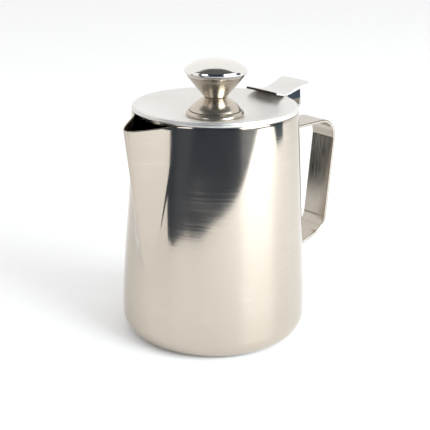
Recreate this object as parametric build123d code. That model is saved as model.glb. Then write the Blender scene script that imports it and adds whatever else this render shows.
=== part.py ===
from build123d import *
import math
import os

# Hand-pump milk frother: a steel jug with a pressed pouring spout, a lift-off lid
# and a plunger with two mesh screens that is pumped through a guide in the lid.
# Frame: origin at the centre of the base, +Z up, +X towards the handle, spout at -X.
# All sizes are millimetres.

# Jug
JUG_HEIGHT = 125.0
BASE_RADIUS = 50.8
RIM_RADIUS = 44.2
CORNER_RADIUS = 11.0
TAPER_START = 20.7
SHOULDER_RADIUS = 280.0
WALL = 0.9
CLOSING_MARGIN = 5.0
BEAD_INNER_RADIUS = 27.0
BEAD_WIDTH = 4.5
BEAD_HEIGHT = 0.5

# Spout: a ridge pressed out of the wall that grows from its foot to the lip
SPOUT_FOOT = 46.0
SPOUT_REACH = 60.3
SPOUT_FOOT_HALF_ANGLE = 9.0
SPOUT_RIM_HALF_ANGLE = 24.0
SPOUT_CREST_SOFTNESS = 0.16
SPOUT_POINTS_EACH_SIDE = 7
SPOUT_SECTIONS = 5
LIP_DIP = 3.0
LIP_DIP_START = 38.0

# Handle: one bent strip, welded to the wall at both ends
HANDLE_WIDTH = 17.0
STRIP_THICKNESS = 1.8
HANDLE_PATH = [(43.0, 107.0), (88.4, 107.4), (82.1, 41.2), (46.0, 29.3)]
HANDLE_BENDS = [11.1, 10.5]
STRIP_EDGE_ROUND = 0.5

# Lid
SHEET = 0.8
LID_RADIUS = 44.2
LID_LIP_BOTTOM = JUG_HEIGHT + 0.1
LID_LIP_TOP = LID_LIP_BOTTOM + 1.1
LID_CREST = 127.2
LID_CREST_RADIUS = 42.8
LID_SLOPE_TOP_RADIUS = 41.4
LID_UNDER_SLOPE_TOP_RADIUS = 41.6
LID_SEAT = 121.3
LID_SEAT_RADIUS = 16.0
LID_UNDER_SEAT_RADIUS = 16.6
SKIRT_RADIUS = 42.7
SKIRT_BOTTOM = 116.0
POUR_NOTCH_WIDTH = 22.0
POUR_NOTCH_TOP = 123.0

# Thumb tab and the clip under it
TAB_THICKNESS = 1.2
TAB_PATH = [(32.6, 129.8), (41.5, 127.8), (46.5, 127.8), (61.8, 132.2)]
TAB_BENDS = [8.0, 14.0]
TAB_INNER_RADIUS = 35.7
TAB_INNER_HALF_WIDTH = 12.2
TAB_OUTER_HALF_WIDTH = 11.0
TAB_CORNER = 2.5
TAB_WAIST_PLACE = 49.5
TAB_WAIST_HALF_WIDTH = 9.4
TAB_WAIST_RADIUS = 24.0
CLIP_THICKNESS = 1.0
CLIP_WIDTH = 18.8
CLIP_PATH = [(54.6, 129.9), (55.4, 120.6), (52.0, 117.2), (45.9, 116.4)]
CLIP_BENDS = [2.6, 3.5]
CHEEK_OUTLINE = [(45.0, 124.2), (54.9, 124.2), (54.6, 130.1), (46.5, 127.8), (45.0, 127.8)]

# Guide through the lid
STEM_RADIUS = 5.0
STEM_BOTTOM = 114.5
HOLE_CLEARANCE = 0.1
FLANGE_RADIUS = 15.4
FLANGE_TOP_RADIUS = 14.4
FLANGE_EDGE_ROUND = 0.4
FLANGE_SHOULDER = LID_SEAT + 1.0
FLANGE_SEAT = LID_SEAT + 1.3
FLANGE_TOP = LID_SEAT + 2.6
CONE_FOOT_RADIUS = 13.7
CONE_MIDDLE = (11.5, 126.8)
WAIST_RADIUS = 5.9
GUIDE_TOP = 131.1
BUSH_RADIUS = 3.2
BUSH_FLANGE_RADIUS = 4.5
BUSH_FLANGE = 0.8
GUIDE_NUT_FLATS = 15.0
GUIDE_NUT_HEIGHT = 4.0
GUIDE_WASHER_RADIUS = 9.0
GUIDE_WASHER = 0.8

# Knob
KNOB_BOTTOM = GUIDE_TOP + 0.1
KNOB_NECK_RADIUS = 8.5
KNOB_NECK_HEIGHT = 134.1
KNOB_SHOULDER_RADIUS = 15.2
KNOB_SHOULDER = 142.2
CAP_RADIUS = 16.6
CAP_EDGE = 144.2
CAP_EDGE_ROUND = 0.7
CAP_TOP = 151.2
INSERT_RADIUS = 4.5
INSERT_BOTTOM = 133.6
INSERT_TOP = 141.6

# Plunger rod and the two screens on it
ROD_RADIUS = 2.0
RUNNING_CLEARANCE = 0.06
ROD_BOTTOM = 8.0
ROD_TOP = 141.0
END_NUT_BOTTOM = 6.0
END_NUT_HEIGHT = 5.0
SMALL_NUT_FLATS = 7.0
LOCK_NUT_HEIGHT = 3.2
PLATE = 0.8
MESH = 0.4
LOWER_PLATE_RADIUS = 33.0
LOWER_PLATE_HOLES = 8
LOWER_PLATE_HOLE_RADIUS = 7.0
LOWER_PLATE_HOLE_CIRCLE = 21.0
CLAMP_RADIUS = 9.0
COIL_RADIUS = 39.8
COIL_WIRE_ENVELOPE = 1.4
COIL_GAP = 0.1
HOOP_OUTER_RADIUS = 41.2
HOOP_INNER_RADIUS = 39.4
HOOP_HEIGHT = 1.6
SPACER_RADIUS = 4.0
SPACER_LENGTH = 11.0

SIDE_VIEW = Plane(origin=(0, 0, 0), x_dir=(1, 0, 0), z_dir=(0, -1, 0))


def turned(points):
    """Solid of revolution about Z of a polygon of (radius, height) points."""
    outline = Polyline(*points, close=True)
    return revolve(SIDE_VIEW * make_face(outline), Axis.Z, 360)


def tube(inner_radius, outer_radius, bottom, height):
    """Plain tube or disc with a hole, standing on the height given."""
    body = Pos(0, 0, bottom) * extrude(Circle(outer_radius), height)
    hole = Pos(0, 0, bottom) * extrude(Circle(inner_radius), height)
    return body - hole


def hex_nut(flats, bore_radius, bottom, height):
    """Hexagon nut, its bore the size of the thread that it holds."""
    corner_radius = flats / math.sqrt(3)
    body = extrude(RegularPolygon(corner_radius, 6), height)
    hole = extrude(Circle(bore_radius), height)
    return Pos(0, 0, bottom) * (body - hole)


def bent_strip(path, bends, thickness, width):
    """Flat strip of even thickness along a bent path in the XZ plane."""
    line = FilletPolyline(*path, radius=bends)
    outline = offset(line, amount=thickness / 2, side=Side.BOTH)
    return extrude(SIDE_VIEW * make_face(outline), width / 2, both=True)


def wall_radius(height):
    """Outer radius of the tapered wall, away from the spout."""
    taper = (BASE_RADIUS - RIM_RADIUS) / (JUG_HEIGHT - TAPER_START)
    return RIM_RADIUS + taper * (JUG_HEIGHT - height)


def ridge_shape(u):
    """Cross-section of the spout ridge: 1 at its crest, 0 at its feet, u from -1 to 1."""
    soft = SPOUT_CREST_SOFTNESS
    full = math.hypot(1, soft)
    slope = (full - math.hypot(u, soft)) / (full - soft)
    return max(slope, 0.0) ** 1.5


def spout_section(height, inset):
    """Face across the jug at one height, with the spout ridge at -X."""
    rise = (height - SPOUT_FOOT) / (JUG_HEIGHT - SPOUT_FOOT)
    base = wall_radius(height) - inset
    reach = rise * (SPOUT_REACH - RIM_RADIUS)
    half_angle = SPOUT_FOOT_HALF_ANGLE + rise * (SPOUT_RIM_HALF_ANGLE - SPOUT_FOOT_HALF_ANGLE)
    feet = [math.radians(180 - half_angle), math.radians(180 + half_angle)]
    foot_points = [(base * math.cos(a), base * math.sin(a)) for a in feet]
    back = ThreePointArc(foot_points[1], (base, 0), foot_points[0])
    if rise == 0:
        front = ThreePointArc(foot_points[0], (-base, 0), foot_points[1])
    else:
        points = []
        for step in range(-SPOUT_POINTS_EACH_SIDE, SPOUT_POINTS_EACH_SIDE + 1):
            u = step / SPOUT_POINTS_EACH_SIDE
            angle = math.radians(180 + half_angle * u)
            radius = base + reach * ridge_shape(u)
            points.append((radius * math.cos(angle), radius * math.sin(angle)))
        points[0] = foot_points[0]
        points[-1] = foot_points[1]
        tangents = [(-math.sin(a), math.cos(a)) for a in feet]
        front = Spline(*points, tangents=tangents)
    return Pos(0, 0, height) * make_face([front, back])


def jug_form(inset):
    """Closed form of the jug, its wall moved in by the inset."""
    base = BASE_RADIUS - inset
    foot = wall_radius(SPOUT_FOOT) - inset
    wall = FilletPolyline(
        (0, inset),
        (base, inset),
        (base, TAPER_START),
        (foot, SPOUT_FOOT),
        radius=[CORNER_RADIUS - inset, SHOULDER_RADIUS],
    )
    closing = Polyline((foot, SPOUT_FOOT), (0, SPOUT_FOOT), (0, inset))
    lower = revolve(SIDE_VIEW * make_face([wall, closing]), Axis.Z, 360)
    rise = JUG_HEIGHT - SPOUT_FOOT
    heights = [SPOUT_FOOT + rise * i / (SPOUT_SECTIONS - 1) for i in range(SPOUT_SECTIONS)]
    upper = loft([spout_section(height, inset) for height in heights])
    return lower + upper


def lip_cut():
    """Wedge above the spout that lets the lip dip towards its tip."""
    tip = -SPOUT_REACH - CLOSING_MARGIN
    slope = LIP_DIP / (SPOUT_REACH - LIP_DIP_START)
    drop = slope * (-tip - LIP_DIP_START)
    top = JUG_HEIGHT + CLOSING_MARGIN
    outline = Polyline(
        (-LIP_DIP_START, JUG_HEIGHT),
        (tip, JUG_HEIGHT - drop),
        (tip, top),
        (-LIP_DIP_START, top),
        close=True,
    )
    return extrude(SIDE_VIEW * make_face(outline), BASE_RADIUS, both=True)


def base_bead():
    """Ring-shaped hollow pressed up into the underside of the base."""
    outer = BEAD_INNER_RADIUS + BEAD_WIDTH
    return turned([
        (BEAD_INNER_RADIUS, 0),
        (outer, 0),
        (outer - BEAD_HEIGHT, BEAD_HEIGHT),
        (BEAD_INNER_RADIUS + BEAD_HEIGHT, BEAD_HEIGHT),
    ])


def jug_body():
    return jug_form(0) - jug_form(WALL) - lip_cut() - base_bead()


def handle():
    strip = bent_strip(HANDLE_PATH, HANDLE_BENDS, STRIP_THICKNESS, HANDLE_WIDTH)
    long_edges = strip.edges().filter_by(lambda e: abs(abs(e.center().Y) - HANDLE_WIDTH / 2) < 0.01)
    inside_wall = long_edges.filter_by(lambda e: e.center().X < RIM_RADIUS)
    strip = fillet(long_edges - inside_wall, STRIP_EDGE_ROUND)
    return strip - jug_form(0)


def lid_plate():
    """Dished disc: a seat for the guide, a crest, and a stepped lip that lies on the rim."""
    hole = STEM_RADIUS + HOLE_CLEARANCE
    step = LID_CREST_RADIUS + SHEET
    under_crest = LID_CREST - SHEET
    upper = FilletPolyline(
        (hole, LID_SEAT),
        (LID_SEAT_RADIUS, LID_SEAT),
        (LID_SLOPE_TOP_RADIUS, LID_CREST),
        (step, LID_CREST),
        (step, LID_LIP_TOP),
        (LID_RADIUS, LID_LIP_TOP),
        (LID_RADIUS, LID_LIP_BOTTOM),
        radius=[6.0, 1.2, 0.5, 0.2, 0.3],
    )
    lower = Polyline(
        (LID_RADIUS, LID_LIP_BOTTOM),
        (LID_CREST_RADIUS, LID_LIP_BOTTOM),
        (LID_CREST_RADIUS, under_crest),
        (LID_UNDER_SLOPE_TOP_RADIUS, under_crest),
        (LID_UNDER_SEAT_RADIUS, LID_SEAT - SHEET),
        (hole, LID_SEAT - SHEET),
        (hole, LID_SEAT),
    )
    return revolve(SIDE_VIEW * make_face([upper, lower]), Axis.Z, 360)


def lid_skirt():
    """Band inside the jug's mouth, with a notch that lets the milk out to the spout."""
    height = LID_CREST - SHEET - SKIRT_BOTTOM
    band = tube(SKIRT_RADIUS - SHEET, SKIRT_RADIUS, SKIRT_BOTTOM, height)
    below = SKIRT_BOTTOM - CLOSING_MARGIN
    notch = Box(SKIRT_RADIUS, POUR_NOTCH_WIDTH, POUR_NOTCH_TOP - below, align=(Align.MAX, Align.CENTER, Align.MIN))
    return band - Pos(-LID_SEAT_RADIUS, 0, below) * notch


def thumb_tab():
    """Waisted, gull-shaped strip across the lid's crest, its inner end hollowed round the axis."""
    strip = bent_strip(TAB_PATH, TAB_BENDS, TAB_THICKNESS, 2 * TAB_INNER_HALF_WIDTH)
    start = TAB_PATH[0][0] - TAB_THICKNESS
    end = TAB_PATH[-1][0] + TAB_THICKNESS
    outline = Polyline(
        (start, -TAB_INNER_HALF_WIDTH),
        (end, -TAB_OUTER_HALF_WIDTH),
        (end, TAB_OUTER_HALF_WIDTH),
        (start, TAB_INNER_HALF_WIDTH),
        close=True,
    )
    plan = make_face(outline)
    plan = fillet(plan.vertices(), TAB_CORNER) - Circle(TAB_INNER_RADIUS)
    for side in (-1, 1):
        middle = side * (TAB_WAIST_HALF_WIDTH + TAB_WAIST_RADIUS)
        plan -= Pos(TAB_WAIST_PLACE, middle) * Circle(TAB_WAIST_RADIUS)
    return strip & Pos(0, 0, LID_SEAT) * extrude(plan, TAB_PATH[-1][1])


def retaining_clip():
    """Strip under the tab that curls in below the jug's rim, with a cheek folded at each side."""
    clip = bent_strip(CLIP_PATH, CLIP_BENDS, CLIP_THICKNESS, CLIP_WIDTH)
    face = SIDE_VIEW * make_face(Polyline(*CHEEK_OUTLINE, close=True))
    for outer_side in (-CLIP_WIDTH / 2 + CLIP_THICKNESS, CLIP_WIDTH / 2):
        clip += Pos(0, outer_side, 0) * extrude(face, CLIP_THICKNESS)
    return clip - thumb_tab()


def guide_flange():
    hole = STEM_RADIUS + HOLE_CLEARANCE
    return turned([
        (hole, LID_SEAT),
        (FLANGE_RADIUS - FLANGE_EDGE_ROUND, LID_SEAT),
        (FLANGE_RADIUS, LID_SEAT + FLANGE_EDGE_ROUND),
        (FLANGE_RADIUS, FLANGE_SHOULDER),
        (FLANGE_TOP_RADIUS, FLANGE_TOP),
        (CONE_FOOT_RADIUS + HOLE_CLEARANCE, FLANGE_TOP),
        (CONE_FOOT_RADIUS + HOLE_CLEARANCE, FLANGE_SEAT),
        (hole, FLANGE_SEAT),
    ])


def guide_cone():
    """Waisted guide on the lid, with a threaded stem that goes through it."""
    side = Spline((CONE_FOOT_RADIUS, FLANGE_TOP), CONE_MIDDLE, (WAIST_RADIUS, GUIDE_TOP))
    rest = Polyline(
        (WAIST_RADIUS, GUIDE_TOP),
        (BUSH_RADIUS, GUIDE_TOP),
        (BUSH_RADIUS, STEM_BOTTOM),
        (STEM_RADIUS, STEM_BOTTOM),
        (STEM_RADIUS, FLANGE_SEAT),
        (CONE_FOOT_RADIUS, FLANGE_SEAT),
        (CONE_FOOT_RADIUS, FLANGE_TOP),
    )
    return revolve(SIDE_VIEW * make_face([side, rest]), Axis.Z, 360)


def guide_bush():
    """Nylon bush that the rod runs in, with a flange under the stem."""
    bore = ROD_RADIUS + RUNNING_CLEARANCE
    return turned([
        (bore, STEM_BOTTOM - BUSH_FLANGE),
        (BUSH_FLANGE_RADIUS, STEM_BOTTOM - BUSH_FLANGE),
        (BUSH_FLANGE_RADIUS, STEM_BOTTOM),
        (BUSH_RADIUS, STEM_BOTTOM),
        (BUSH_RADIUS, GUIDE_TOP),
        (bore, GUIDE_TOP),
    ])


def knob_cone():
    """Lower part of the knob, bored for its threaded insert."""
    bore = ROD_RADIUS + RUNNING_CLEARANCE
    side = Spline(
        (WAIST_RADIUS, KNOB_BOTTOM),
        (KNOB_NECK_RADIUS, KNOB_NECK_HEIGHT),
        (KNOB_SHOULDER_RADIUS, KNOB_SHOULDER),
    )
    rest = Polyline(
        (KNOB_SHOULDER_RADIUS, KNOB_SHOULDER),
        (INSERT_RADIUS, KNOB_SHOULDER),
        (INSERT_RADIUS, INSERT_BOTTOM),
        (bore, INSERT_BOTTOM),
        (bore, KNOB_BOTTOM),
        (WAIST_RADIUS, KNOB_BOTTOM),
    )
    return revolve(SIDE_VIEW * make_face([side, rest]), Axis.Z, 360)


def knob_cap():
    """Domed cap on the knob, its edge standing proud of the cone."""
    edge = CAP_RADIUS - CAP_EDGE_ROUND / 2
    edge_bottom = CAP_EDGE - CAP_EDGE_ROUND
    edge_top = CAP_EDGE + CAP_EDGE_ROUND
    rise = CAP_TOP - edge_top
    dome_radius = (edge**2 + rise**2) / (2 * rise)
    middle = edge / 2
    dome_middle = (middle, CAP_TOP - dome_radius + math.sqrt(dome_radius**2 - middle**2))
    under = Polyline((0, KNOB_SHOULDER), (KNOB_SHOULDER_RADIUS, KNOB_SHOULDER), (edge, edge_bottom))
    rim = ThreePointArc((edge, edge_bottom), (CAP_RADIUS, CAP_EDGE), (edge, edge_top))
    dome = ThreePointArc((edge, edge_top), dome_middle, (0, CAP_TOP))
    axis = Line((0, CAP_TOP), (0, KNOB_SHOULDER))
    return revolve(SIDE_VIEW * make_face([under, rim, dome, axis]), Axis.Z, 360)


def lower_plate(bottom):
    """Perforated plate that stiffens the lower screen."""
    plate = tube(ROD_RADIUS, LOWER_PLATE_RADIUS, bottom, PLATE)
    for index in range(LOWER_PLATE_HOLES):
        turn = Rot(0, 0, index * 360 / LOWER_PLATE_HOLES)
        hole = Pos(LOWER_PLATE_HOLE_CIRCLE, 0, bottom) * extrude(Circle(LOWER_PLATE_HOLE_RADIUS), PLATE)
        plate -= turn * hole
    return plate


def edge_coil(middle):
    """Outer envelope of the wire coil round the edge of the lower screen."""
    section = Pos(COIL_RADIUS, middle) * Circle(COIL_WIRE_ENVELOPE)
    return revolve(SIDE_VIEW * section, Axis.Z, 360)


def guide_parts():
    """The guide and what clamps it to the lid."""
    under_lid = LID_SEAT - SHEET
    washer_bottom = under_lid - GUIDE_WASHER
    nut_bottom = washer_bottom - GUIDE_NUT_HEIGHT
    return {
        "guide_flange": guide_flange(),
        "guide_cone": guide_cone(),
        "guide_bush": guide_bush(),
        "guide_washer": tube(STEM_RADIUS + HOLE_CLEARANCE, GUIDE_WASHER_RADIUS, washer_bottom, GUIDE_WASHER),
        "guide_nut": hex_nut(GUIDE_NUT_FLATS, STEM_RADIUS, nut_bottom, GUIDE_NUT_HEIGHT),
    }


def plunger_parts():
    """The rod and everything clamped on it, from the bottom up."""
    plate_bottom = END_NUT_BOTTOM + END_NUT_HEIGHT
    lower_mesh_bottom = plate_bottom + PLATE
    lower_clamp_bottom = lower_mesh_bottom + MESH
    spacer_bottom = lower_clamp_bottom + PLATE
    support_bottom = spacer_bottom + SPACER_LENGTH
    upper_mesh_bottom = support_bottom + PLATE
    upper_clamp_bottom = upper_mesh_bottom + MESH
    lock_nut_bottom = upper_clamp_bottom + PLATE
    hoop_bottom = upper_mesh_bottom + MESH / 2 - HOOP_HEIGHT / 2
    coil_middle = lower_mesh_bottom + MESH / 2
    lower_mesh_radius = COIL_RADIUS - COIL_WIRE_ENVELOPE - COIL_GAP
    end_nut = hex_nut(SMALL_NUT_FLATS, ROD_RADIUS, ROD_BOTTOM, plate_bottom - ROD_BOTTOM)
    end_cap = Pos(0, 0, END_NUT_BOTTOM) * extrude(Circle(SMALL_NUT_FLATS / 2), ROD_BOTTOM - END_NUT_BOTTOM)
    return {
        "plunger_rod": Pos(0, 0, ROD_BOTTOM) * extrude(Circle(ROD_RADIUS), ROD_TOP - ROD_BOTTOM),
        "end_nut": end_nut + end_cap,
        "lower_plate": lower_plate(plate_bottom),
        "lower_mesh": tube(ROD_RADIUS, lower_mesh_radius, lower_mesh_bottom, MESH),
        "edge_coil": edge_coil(coil_middle),
        "lower_clamp_disc": tube(ROD_RADIUS, CLAMP_RADIUS, lower_clamp_bottom, PLATE),
        "spacer_tube": tube(ROD_RADIUS, SPACER_RADIUS, spacer_bottom, SPACER_LENGTH),
        "upper_support_disc": tube(ROD_RADIUS, CLAMP_RADIUS, support_bottom, PLATE),
        "upper_mesh": tube(ROD_RADIUS, HOOP_INNER_RADIUS, upper_mesh_bottom, MESH),
        "upper_hoop": tube(HOOP_INNER_RADIUS, HOOP_OUTER_RADIUS, hoop_bottom, HOOP_HEIGHT),
        "upper_clamp_disc": tube(ROD_RADIUS, CLAMP_RADIUS, upper_clamp_bottom, PLATE),
        "lock_nut": hex_nut(SMALL_NUT_FLATS, ROD_RADIUS, lock_nut_bottom, LOCK_NUT_HEIGHT),
        "knob_insert": tube(ROD_RADIUS, INSERT_RADIUS, INSERT_BOTTOM, INSERT_TOP - INSERT_BOTTOM),
        "knob_cone": knob_cone(),
        "knob_cap": knob_cap(),
    }


def all_parts():
    parts = {
        "jug_body": jug_body(),
        "handle": handle(),
        "lid_plate": lid_plate(),
        "lid_skirt": lid_skirt(),
        "thumb_tab": thumb_tab(),
        "retaining_clip": retaining_clip(),
    }
    parts.update(guide_parts())
    parts.update(plunger_parts())
    return parts


os.makedirs("parts", exist_ok=True)
for name, shape in all_parts().items():
    export_step(shape, f"parts/{name}.step")
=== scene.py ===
import math

import bpy
from mathutils import Matrix, Vector


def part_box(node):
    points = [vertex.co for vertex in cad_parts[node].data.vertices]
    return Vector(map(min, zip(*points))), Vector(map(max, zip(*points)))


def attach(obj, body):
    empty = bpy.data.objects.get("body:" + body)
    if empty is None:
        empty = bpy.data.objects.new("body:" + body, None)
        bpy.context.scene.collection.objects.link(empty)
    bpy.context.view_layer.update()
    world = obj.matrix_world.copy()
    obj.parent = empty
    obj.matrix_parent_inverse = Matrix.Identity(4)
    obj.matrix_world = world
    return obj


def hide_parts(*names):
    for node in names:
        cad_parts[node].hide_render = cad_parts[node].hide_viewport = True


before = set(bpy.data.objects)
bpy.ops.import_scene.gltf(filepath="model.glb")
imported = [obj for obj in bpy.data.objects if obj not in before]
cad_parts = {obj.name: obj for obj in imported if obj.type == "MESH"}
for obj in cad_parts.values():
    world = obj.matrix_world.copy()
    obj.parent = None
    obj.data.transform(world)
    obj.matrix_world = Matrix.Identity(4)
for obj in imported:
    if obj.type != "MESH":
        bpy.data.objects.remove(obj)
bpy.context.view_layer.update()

# ---------------------------------------------------------------- sizes, metres
MM = 0.001
SEGMENTS = 192
SHARP_ANGLE = 40
ON_AXIS = 1e-7
# Each rounding starts and ends with a short straight run, which keeps flat sides flat when shaded
HOLD_SHARE = 0.25
HOLD_LIMIT = 0.25 * MM

# Jug
jug_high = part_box("jug_body")[1]
JUG_HEIGHT = jug_high.z
BASE_RADIUS = jug_high.y
RIM_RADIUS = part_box("lid_plate")[1].y
SPOUT_REACH = 60.3 * MM
WALL = 0.9 * MM
CORNER_RADIUS = 11 * MM
TAPER_START = 20.7 * MM
SHOULDER_RADIUS = 280 * MM
SPOUT_FOOT = 46 * MM
SPOUT_FOOT_HALF_ANGLE = 9.0
SPOUT_RIM_HALF_ANGLE = 24.0
CREST_SOFTNESS = 0.16
LIP_DIP = 3 * MM
LIP_DIP_START = 38 * MM
BEAD_RADIUS = 29.2 * MM
BEAD_WIDTH = 4.5 * MM
BEAD_HEIGHT = 0.5 * MM
FLANK_HOLLOW = 0.7 * MM
FLANK_ANGLE = 37.0
FLANK_SPREAD = 10.0
SPOUT_SPAN = 60
SPOUT_COLUMNS = 180
OTHER_COLUMNS = 200
WALL_ROWS = 64
RIM_STEPS = 8


# ---------------------------------------------------------------- mesh helpers
def rounded_path(points, radii, steps=6, closed=False):
    """Points along a path with its corners rounded; radii are one for each corner."""
    path = []
    count = len(points)
    corners = range(count) if closed else range(1, count - 1)
    if not closed:
        path.append(Vector(points[0]))
    for corner, radius in zip(corners, radii):
        here = Vector(points[corner])
        back = (Vector(points[corner - 1]) - here).normalized()
        ahead = (Vector(points[(corner + 1) % count]) - here).normalized()
        if radius <= 0:
            path.append(here)
            continue
        half = back.angle(ahead) / 2
        reach = radius / math.tan(half)
        centre = here + (back + ahead).normalized() * (radius / math.sin(half))
        start = here + back * reach - centre
        end = here + ahead * reach - centre
        hold = min(HOLD_SHARE * radius, HOLD_LIMIT)
        path.append(centre + start + back * hold)
        for step in range(steps + 1):
            path.append(centre + start.slerp(end, step / steps) * radius)
        path.append(centre + end + ahead * hold)
    if not closed:
        path.append(Vector(points[-1]))
    return path


def spaced(path, gap):
    """The same path with extra points, so that none are further apart than the gap."""
    result = [path[0]]
    for a, b in zip(path, path[1:]):
        parts = max(1, math.ceil((b - a).length / gap))
        result.extend(a.lerp(b, i / parts) for i in range(1, parts + 1))
    return result


def skin(rings, around=True, along=False):
    """Vertices and quads over a list of rings of points; a ring of one point is a pole."""
    vertices = []
    starts = []
    for ring in rings:
        starts.append(len(vertices))
        vertices.extend(ring)
    faces = []
    pairs = list(zip(range(len(rings)), range(1, len(rings))))
    if along:
        pairs.append((len(rings) - 1, 0))
    for a, b in pairs:
        size = max(len(rings[a]), len(rings[b]))
        for i in range(size if around else size - 1):
            j = (i + 1) % size
            quad = []
            for ring, index in ((a, i), (a, j), (b, j), (b, i)):
                vertex = starts[ring] + (index if len(rings[ring]) > 1 else 0)
                if vertex not in quad:
                    quad.append(vertex)
            if len(quad) > 2:
                faces.append(quad)
    return vertices, faces


def make_piece(name, body, material, vertices, faces, replaces=()):
    """A smooth-shaded piece that rides on a body and may stand for CAD nodes."""
    mesh = bpy.data.meshes.new(name)
    mesh.from_pydata([tuple(v) for v in vertices], [], faces)
    mesh.validate()
    mesh.shade_smooth()
    mesh.set_sharp_from_angle(angle=math.radians(SHARP_ANGLE))
    mesh.materials.append(material)
    piece = bpy.data.objects.new(name, mesh)
    bpy.context.scene.collection.objects.link(piece)
    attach(piece, body)
    if replaces:
        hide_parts(*replaces)
    return piece


def turned(name, body, material, path, closed=False, replaces=()):
    """A solid of revolution about Z from a path of (radius, height) points."""
    rings = []
    for radius, height in path:
        if radius < ON_AXIS:
            rings.append([(0, 0, height)])
            continue
        angles = [2 * math.pi * i / SEGMENTS for i in range(SEGMENTS)]
        rings.append([(radius * math.cos(a), radius * math.sin(a), height) for a in angles])
    vertices, faces = skin(rings, along=closed)
    return make_piece(name, body, material, vertices, faces, replaces)


def tube_along(points, radius, sides):
    """Rings of a thin round tube that follows the points."""
    rings = []
    for index, point in enumerate(points):
        ahead = points[min(index + 1, len(points) - 1)]
        back = points[max(index - 1, 0)]
        direction = (ahead - back).normalized()
        across = direction.cross(Vector((0, 0, 1))).normalized()
        lift = across.cross(direction)
        ring = []
        for side in range(sides):
            angle = 2 * math.pi * side / sides
            ring.append(point + across * radius * math.cos(angle) + lift * radius * math.sin(angle))
        rings.append(ring)
    return rings


def join_skins(skins):
    """One list of vertices and faces from several."""
    vertices = []
    faces = []
    for new_vertices, new_faces in skins:
        start = len(vertices)
        vertices.extend(new_vertices)
        faces.extend([start + v for v in face] for face in new_faces)
    return vertices, faces


# ---------------------------------------------------------------- materials
def new_material(name, colour, metallic, roughness):
    """A material with its shader and the node tree that feeds it."""
    material = bpy.data.materials.new(name)
    material.use_nodes = True
    tree = material.node_tree
    shader = tree.nodes["Principled BSDF"]
    shader.inputs["Base Color"].default_value = (*colour, 1)
    shader.inputs["Metallic"].default_value = metallic
    shader.inputs["Roughness"].default_value = roughness
    return material, tree, shader


def noise(tree, stretch, detail):
    """Noise in object space, stretched along the grain of the metal."""
    coordinates = tree.nodes.new("ShaderNodeTexCoord")
    mapping = tree.nodes.new("ShaderNodeMapping")
    mapping.inputs["Scale"].default_value = stretch
    texture = tree.nodes.new("ShaderNodeTexNoise")
    texture.inputs["Scale"].default_value = 1
    texture.inputs["Detail"].default_value = detail
    tree.links.new(coordinates.outputs["Object"], mapping.inputs["Vector"])
    tree.links.new(mapping.outputs["Vector"], texture.inputs["Vector"])
    return texture.outputs["Fac"]


def remap(tree, value, low, high):
    """The middle of a noise value's range, mapped onto another range."""
    node = tree.nodes.new("ShaderNodeMapRange")
    node.inputs["From Min"].default_value = 0.3
    node.inputs["From Max"].default_value = 0.7
    node.inputs["To Min"].default_value = low
    node.inputs["To Max"].default_value = high
    tree.links.new(value, node.inputs["Value"])
    return node.outputs["Result"]


def combine(tree, operation, first, second):
    """Two sockets combined by a math node."""
    node = tree.nodes.new("ShaderNodeMath")
    node.operation = operation
    tree.links.new(first, node.inputs[0])
    tree.links.new(second, node.inputs[1])
    return node.outputs["Value"]


def mix_colours(tree, factor, first, second):
    """A colour between two, by a factor socket."""
    node = tree.nodes.new("ShaderNodeMix")
    node.data_type = "RGBA"
    node.inputs["A"].default_value = (*first, 1)
    node.inputs["B"].default_value = (*second, 1)
    tree.links.new(factor, node.inputs["Factor"])
    return node.outputs["Result"]


def add_bump(tree, shader, height, strength, distance):
    """Lets a noise value roughen the shader's surface."""
    bump = tree.nodes.new("ShaderNodeBump")
    bump.inputs["Strength"].default_value = strength
    bump.inputs["Distance"].default_value = distance
    tree.links.new(height, bump.inputs["Height"])
    tree.links.new(bump.outputs["Normal"], shader.inputs["Normal"])


SMUDGE_SCALE = (60, 60, 60)
GRAIN_DEPTH = 0.02 * MM


def metal(name, dark, light, roughness, spread, grain, bump):
    """Metal with a fine grain, faint smudges and a colour that wanders from dark to light."""
    material, tree, shader = new_material(name, light, 1, roughness)
    fine = noise(tree, grain, 3)
    smudge = noise(tree, SMUDGE_SCALE, 4)
    tint = remap(tree, combine(tree, "MULTIPLY", fine, smudge), 0, 1)
    tree.links.new(mix_colours(tree, tint, dark, light), shader.inputs["Base Color"])
    streaks = remap(tree, fine, roughness - spread, roughness + spread)
    patches = remap(tree, smudge, -0.3 * spread, 0.6 * spread)
    tree.links.new(combine(tree, "ADD", streaks, patches), shader.inputs["Roughness"])
    add_bump(tree, shader, fine, bump, GRAIN_DEPTH)
    return material


def cross_glow(material, share, roughness):
    """Adds a wide lobe across the brushing, which smears bright lights into upright streaks."""
    tree = material.node_tree
    shader = tree.nodes["Principled BSDF"]
    wide = tree.nodes.new("ShaderNodeBsdfPrincipled")
    wide.inputs["Metallic"].default_value = 1
    wide.inputs["Roughness"].default_value = roughness
    wide.inputs["Anisotropic"].default_value = 1
    wide.inputs["Anisotropic Rotation"].default_value = 0.25
    tangent = tree.nodes.new("ShaderNodeTangent")
    tangent.direction_type = "RADIAL"
    tangent.axis = "Z"
    tree.links.new(tangent.outputs["Tangent"], wide.inputs["Tangent"])
    for link in list(tree.links):
        if link.to_node == shader and link.to_socket.name == "Base Color":
            tree.links.new(link.from_socket, wide.inputs["Base Color"])
    mix = tree.nodes.new("ShaderNodeMixShader")
    mix.inputs["Fac"].default_value = share
    output = tree.nodes["Material Output"]
    tree.links.new(shader.outputs["BSDF"], mix.inputs[1])
    tree.links.new(wide.outputs["BSDF"], mix.inputs[2])
    tree.links.new(mix.outputs["Shader"], output.inputs["Surface"])


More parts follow.
